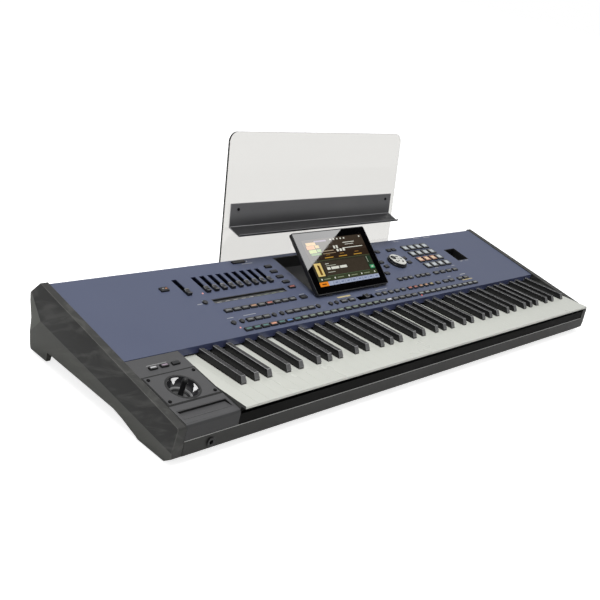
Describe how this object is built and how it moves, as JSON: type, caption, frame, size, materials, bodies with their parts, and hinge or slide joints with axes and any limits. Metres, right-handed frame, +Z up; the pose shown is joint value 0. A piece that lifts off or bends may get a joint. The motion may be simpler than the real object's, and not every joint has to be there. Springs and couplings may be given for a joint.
{
  "type": "arranger keyboard",
  "caption": "Wide music keyboard with sprung keys, tilting display, sliders, buttons, dial, joystick and a clear music stand on a low metal case with end panels.",
  "frame": {"origin": "centre of the outline at table height", "axes": "+X to the player's right along the keys, +Y to the rear, +Z up"},
  "size_m": [1.198, 0.387, 0.3395],
  "materials": {
    "panel_metal": "satin anodised, blue grey",
    "end_plastic": "fine grain, faint dark streaks",
    "block_plastic": "fine grain",
    "dark_plastic": "satin",
    "frame_plastic": "moulded",
    "case_metal": "fine powder coat",
    "chrome": "polished",
    "rubber": "matt",
    "steel": "blackened",
    "board": "solder mask",
    "key_white": "gloss",
    "key_black": "satin gloss",
    "button_plastic": "satin, some lit",
    "dial_metal": "spun",
    "screen_glass": "gloss black",
    "clear_acrylic": "clear"
  },
  "bodies": {
    "case": {"bottom_case": "case_metal", "left_end_panel": "end_plastic", "right_end_panel": "end_plastic", "top_panel": "panel_metal", "front_rail": "dark_plastic", "key_frame": "frame_plastic", "joystick_block": "block_plastic", "joystick_plate": "block_plastic", "joystick_cup": "chrome", "ribbon_strip": "dark_plastic", "display_well": "dark_plastic", "strip_window": "dark_plastic", "usb_well": "dark_plastic", "music_stand_plate": "clear_acrylic", "music_stand_ledge": "case_metal", "stand_brackets": "dark_plastic", "rear_panel": "case_metal", "jack_sockets": "dark_plastic", "mains_inlet": "dark_plastic", "feet": "rubber", "machine_screws": "steel", "main_board": "board"},
    "joystick_ring": {"joystick_ring": "dark_plastic"},
    "joystick_stick": {"joystick_stick": "dark_plastic"},
    "display": {"display_housing": "dark_plastic", "display_glass": "screen_glass"},
    "value_dial": {"value_dial": "dial_metal"},
    "assign_buttons": {"assign_buttons": "button_plastic"},
    "colour_buttons": {"colour_buttons": "button_plastic"},
    "mode_buttons": {"mode_buttons": "button_plastic"},
    "bank_buttons": {"bank_buttons": "button_plastic"},
    "side_buttons": {"side_buttons": "button_plastic"},
    "style_buttons": {"style_buttons": "button_plastic"},
    "dial_buttons": {"dial_buttons": "dark_plastic"},
    "pad_buttons": {"pad_buttons": "button_plastic"},
    "standby_button": {"standby_button": "dark_plastic"},
    "slider_1": {"slider_1": "dark_plastic"},
    "slider_2": {"slider_2": "dark_plastic"},
    "slider_3": {"slider_3": "dark_plastic"},
    "slider_4": {"slider_4": "dark_plastic"},
    "slider_5": {"slider_5": "dark_plastic"},
    "slider_6": {"slider_6": "dark_plastic"},
    "slider_7": {"slider_7": "dark_plastic"},
    "slider_8": {"slider_8": "dark_plastic"},
    "slider_9": {"slider_9": "dark_plastic"},
    "master_slider": {"master_slider": "dark_plastic"},
    "cross_slider": {"cross_slider": "dark_plastic"},
    "white_keys_c": {"white_keys_c": "key_white"},
    "white_keys_d": {"white_keys_d": "key_white"},
    "white_keys_e": {"white_keys_e": "key_white"},
    "white_keys_f": {"white_keys_f": "key_white"},
    "white_keys_g": {"white_keys_g": "key_white"},
    "white_keys_a": {"white_keys_a": "key_white"},
    "white_keys_b": {"white_keys_b": "key_white"},
    "black_keys_c": {"black_keys_c": "key_black"},
    "black_keys_d": {"black_keys_d": "key_black"},
    "black_keys_f": {"black_keys_f": "key_black"},
    "black_keys_g": {"black_keys_g": "key_black"},
    "black_keys_a": {"black_keys_a": "key_black"}
  },
  "joints": [
    {"name": "joystick_fore_aft", "type": "hinge", "parent": "case", "child": "joystick_ring", "pos_m": [-0.5311, -0.11268, 0.03932], "axis": [1, 0, 0], "range_deg": [-16, 16], "stiffness_Nm_per_rad": 0.06},
    {"name": "joystick_side", "type": "hinge", "parent": "joystick_ring", "child": "joystick_stick", "pos_m": [-0.5311, -0.11268, 0.03932], "axis": [0, 0.9884, 0.1518], "range_deg": [-16, 16], "stiffness_Nm_per_rad": 0.06},
    {"name": "display_tilt", "type": "hinge", "parent": "case", "child": "display", "pos_m": [-0.0145, 0.01217, 0.09302], "axis": [1, 0, 0], "range_deg": [-30, 14]},
    {"name": "value_dial_turn", "type": "hinge", "parent": "case", "child": "value_dial", "pos_m": [0.196, 0.07142, 0.1037], "axis": [0, -0.1872, 0.9823], "continuous": true},
    {"name": "white_c_press", "type": "hinge", "parent": "case", "child": "white_keys_c", "pos_m": [0, 0.03849, 0.055], "axis": [1, 0, 0], "range_deg": [0, 2.4], "stiffness_Nm_per_rad": 6, "springref_deg": -8.59},
    {"name": "white_d_press", "type": "hinge", "parent": "case", "child": "white_keys_d", "pos_m": [0, 0.03849, 0.055], "axis": [1, 0, 0], "range_deg": [0, 2.4], "stiffness_Nm_per_rad": 6, "springref_deg": -8.59},
    {"name": "white_e_press", "type": "hinge", "parent": "case", "child": "white_keys_e", "pos_m": [0, 0.03849, 0.055], "axis": [1, 0, 0], "range_deg": [0, 2.4], "stiffness_Nm_per_rad": 6, "springref_deg": -8.59},
    {"name": "white_f_press", "type": "hinge", "parent": "case", "child": "white_keys_f", "pos_m": [0, 0.03849, 0.055], "axis": [1, 0, 0], "range_deg": [0, 2.4], "stiffness_Nm_per_rad": 6, "springref_deg": -8.59},
    {"name": "white_g_press", "type": "hinge", "parent": "case", "child": "white_keys_g", "pos_m": [0, 0.03849, 0.055], "axis": [1, 0, 0], "range_deg": [0, 2.4], "stiffness_Nm_per_rad": 6, "springref_deg": -8.59},
    {"name": "white_a_press", "type": "hinge", "parent": "case", "child": "white_keys_a", "pos_m": [0, 0.03849, 0.055], "axis": [1, 0, 0], "range_deg": [0, 2.4], "stiffness_Nm_per_rad": 6, "springref_deg": -8.59},
    {"name": "white_b_press", "type": "hinge", "parent": "case", "child": "white_keys_b", "pos_m": [0, 0.03849, 0.055], "axis": [1, 0, 0], "range_deg": [0, 2.4], "stiffness_Nm_per_rad": 6, "springref_deg": -8.59},
    {"name": "black_c_press", "type": "hinge", "parent": "case", "child": "black_keys_c", "pos_m": [0, 0.03849, 0.055], "axis": [1, 0, 0], "range_deg": [0, 2.4], "stiffness_Nm_per_rad": 6, "springref_deg": -8.59},
    {"name": "black_d_press", "type": "hinge", "parent": "case", "child": "black_keys_d", "pos_m": [0, 0.03849, 0.055], "axis": [1, 0, 0], "range_deg": [0, 2.4], "stiffness_Nm_per_rad": 6, "springref_deg": -8.59},
    {"name": "black_f_press", "type": "hinge", "parent": "case", "child": "black_keys_f", "pos_m": [0, 0.03849, 0.055], "axis": [1, 0, 0], "range_deg": [0, 2.4], "stiffness_Nm_per_rad": 6, "springref_deg": -8.59},
    {"name": "black_g_press", "type": "hinge", "parent": "case", "child": "black_keys_g", "pos_m": [0, 0.03849, 0.055], "axis": [1, 0, 0], "range_deg": [0, 2.4], "stiffness_Nm_per_rad": 6, "springref_deg": -8.59},
    {"name": "black_a_press", "type": "hinge", "parent": "case", "child": "black_keys_a", "pos_m": [0, 0.03849, 0.055], "axis": [1, 0, 0], "range_deg": [0, 2.4], "stiffness_Nm_per_rad": 6, "springref_deg": -8.59},
    {"name": "slider_1_travel", "type": "slide", "parent": "case", "child": "slider_1", "axis": [0, 0.9823, 0.1872], "range_m": [0, 0.031]},
    {"name": "slider_2_travel", "type": "slide", "parent": "case", "child": "slider_2", "axis": [0, 0.9823, 0.1872], "range_m": [0, 0.031]},
    {"name": "slider_3_travel", "type": "slide", "parent": "case", "child": "slider_3", "axis": [0, 0.9823, 0.1872], "range_m": [0, 0.031]},
    {"name": "slider_4_travel", "type": "slide", "parent": "case", "child": "slider_4", "axis": [0, 0.9823, 0.1872], "range_m": [0, 0.031]},
    {"name": "slider_5_travel", "type": "slide", "parent": "case", "child": "slider_5", "axis": [0, 0.9823, 0.1872], "range_m": [0, 0.031]},
    {"name": "slider_6_travel", "type": "slide", "parent": "case", "child": "slider_6", "axis": [0, 0.9823, 0.1872], "range_m": [0, 0.031]},
    {"name": "slider_7_travel", "type": "slide", "parent": "case", "child": "slider_7", "axis": [0, 0.9823, 0.1872], "range_m": [0, 0.031]},
    {"name": "slider_8_travel", "type": "slide", "parent": "case", "child": "slider_8", "axis": [0, 0.9823, 0.1872], "range_m": [0, 0.031]},
    {"name": "slider_9_travel", "type": "slide", "parent": "case", "child": "slider_9", "axis": [0, 0.9823, 0.1872], "range_m": [0, 0.031]},
    {"name": "master_slider_travel", "type": "slide", "parent": "case", "child": "master_slider", "axis": [0, 0.9823, 0.1872], "range_m": [0, 0.031]},
    {"name": "cross_slider_travel", "type": "slide", "parent": "case", "child": "cross_slider", "axis": [1, 0, 0], "range_m": [-0.0165, 0.0165]},
    {"name": "colour_press", "type": "slide", "parent": "case", "child": "colour_buttons", "axis": [0, 0.1872, -0.9823], "range_m": [0, 0.0015], "stiffness_N_per_m": 400, "springref_m": -0.003},
    {"name": "mode_press", "type": "slide", "parent": "case", "child": "mode_buttons", "axis": [0, 0.1872, -0.9823], "range_m": [0, 0.0015], "stiffness_N_per_m": 400, "springref_m": -0.003},
    {"name": "bank_press", "type": "slide", "parent": "case", "child": "bank_buttons", "axis": [0, 0.1872, -0.9823], "range_m": [0, 0.0015], "stiffness_N_per_m": 400, "springref_m": -0.003},
    {"name": "side_press", "type": "slide", "parent": "case", "child": "side_buttons", "axis": [0, 0.1872, -0.9823], "range_m": [0, 0.0015], "stiffness_N_per_m": 400, "springref_m": -0.003},
    {"name": "style_press", "type": "slide", "parent": "case", "child": "style_buttons", "axis": [0, 0.1872, -0.9823], "range_m": [0, 0.0015], "stiffness_N_per_m": 400, "springref_m": -0.003},
    {"name": "dial_press", "type": "slide", "parent": "case", "child": "dial_buttons", "axis": [0, 0.1872, -0.9823], "range_m": [0, 0.0015], "stiffness_N_per_m": 400, "springref_m": -0.003},
    {"name": "pad_press", "type": "slide", "parent": "case", "child": "pad_buttons", "axis": [0, 0.1872, -0.9823], "range_m": [0, 0.0015], "stiffness_N_per_m": 400, "springref_m": -0.003},
    {"name": "standby_press", "type": "slide", "parent": "case", "child": "standby_button", "axis": [0, 0.1872, -0.9823], "range_m": [0, 0.0015], "stiffness_N_per_m": 400, "springref_m": -0.003},
    {"name": "assign_press", "type": "slide", "parent": "case", "child": "assign_buttons", "axis": [0, 0.1518, -0.9884], "range_m": [0, 0.0015], "stiffness_N_per_m": 400, "springref_m": -0.003}
  ]
}
